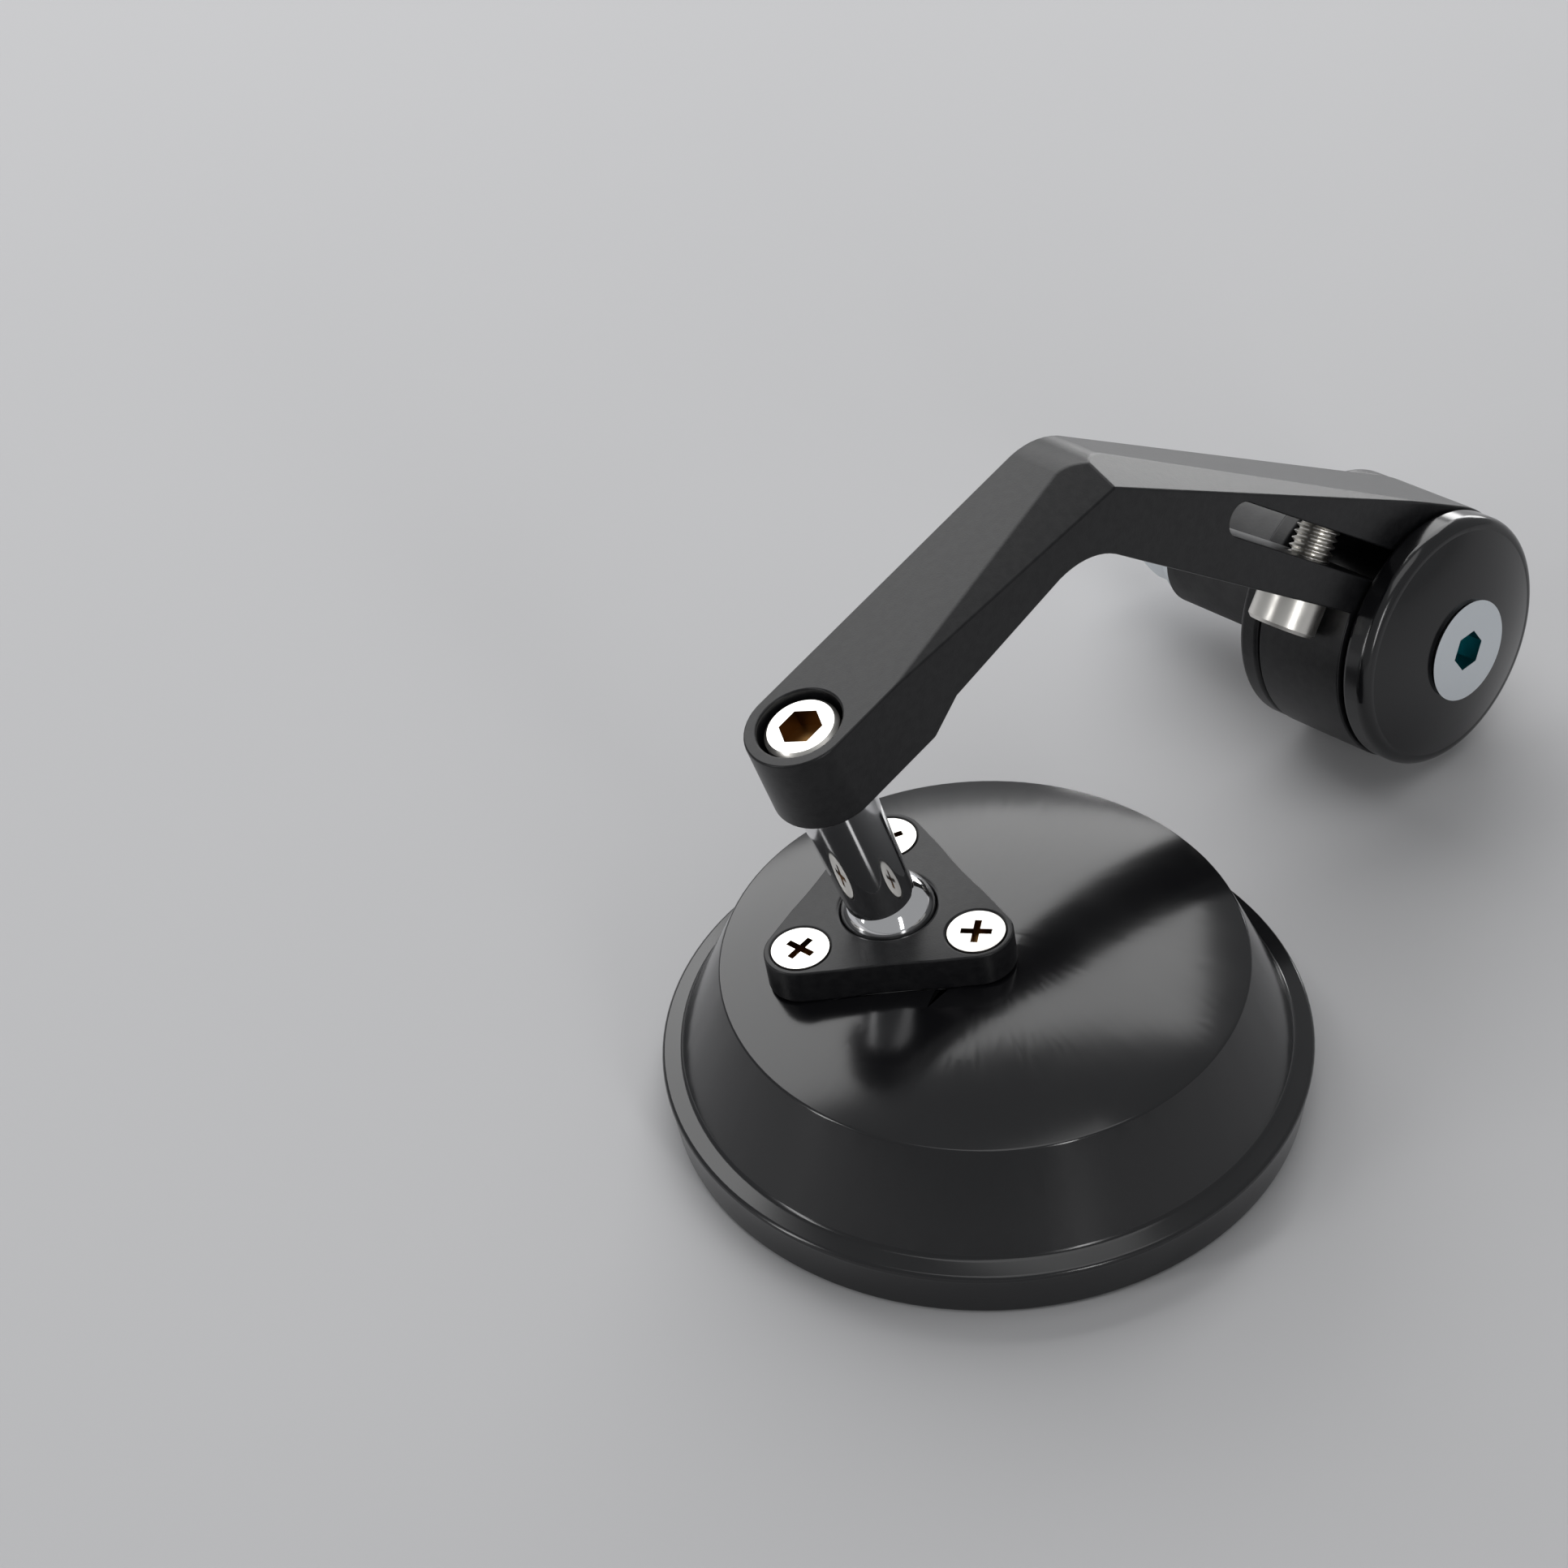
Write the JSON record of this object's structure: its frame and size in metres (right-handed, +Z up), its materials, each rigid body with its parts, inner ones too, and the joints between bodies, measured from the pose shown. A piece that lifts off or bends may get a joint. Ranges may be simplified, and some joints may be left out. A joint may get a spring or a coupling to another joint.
{
  "type": "bar end mirror",
  "caption": "Round bar end mirror lying glass down: bent arm with split clamp ring, ball joint, rubber expander for the bar.",
  "frame": {"origin": "on the hub axis, where the face of the inner flange meets the end of the handlebar", "axes": "+X from the hub towards the mirror head, +Y outboard, +Z up; the hub axis is tilted 7.4 degrees up from +Y, as the mirror rests on a table with its glass down"},
  "size_m": [0.1487, 0.0995, 0.0743],
  "materials": {
    "gloss_black": "gloss",
    "satin_black": "satin",
    "chromed": "polished",
    "zinc_steel": "satin",
    "black_rubber": "matte",
    "seat_plastic": "matte",
    "mirror_face": "polished"
  },
  "bodies": {
    "hub": {"pivot_hub": "satin_black", "outer_cap": "gloss_black", "expander_bolt": "zinc_steel", "rubber_sleeve": "black_rubber", "expander_washer": "zinc_steel", "expander_nut": "zinc_steel"},
    "arm": {"arm": "satin_black", "clamp_screw": "zinc_steel"},
    "stud": {"ball_stud": "chromed", "stem_screw": "zinc_steel"},
    "seat": {"ball_seat": "seat_plastic"},
    "head": {"head_shell": "gloss_black", "mirror_glass": "mirror_face", "glass_gasket": "black_rubber", "glass_pad": "black_rubber", "seat_pad": "black_rubber", "retaining_plate": "satin_black", "plate_screw_1": "zinc_steel", "plate_screw_2": "zinc_steel", "plate_screw_3": "zinc_steel"}
  },
  "joints": [
    {"name": "arm_swivel", "type": "hinge", "parent": "hub", "child": "arm", "pos_m": [0, 0.01081, 0.0014], "axis": [0, 0.9917, 0.1288], "continuous": true},
    {"name": "stud_spin", "type": "hinge", "parent": "arm", "child": "stud", "pos_m": [0.10445, 0.0052, 0.04457], "axis": [0.2433, -0.1249, 0.9619], "continuous": true},
    {"name": "head_tilt", "type": "hinge", "parent": "stud", "child": "seat", "pos_m": [0.0956, 0.00974, 0.00961], "axis": [0.283, 0.9577, 0.0528], "range_deg": [-10, 25]},
    {"name": "head_roll", "type": "hinge", "parent": "seat", "child": "head", "pos_m": [0.0956, 0.00974, 0.00961], "axis": [0.9574, -0.2788, -0.075], "range_deg": [-12, 12]}
  ]
}
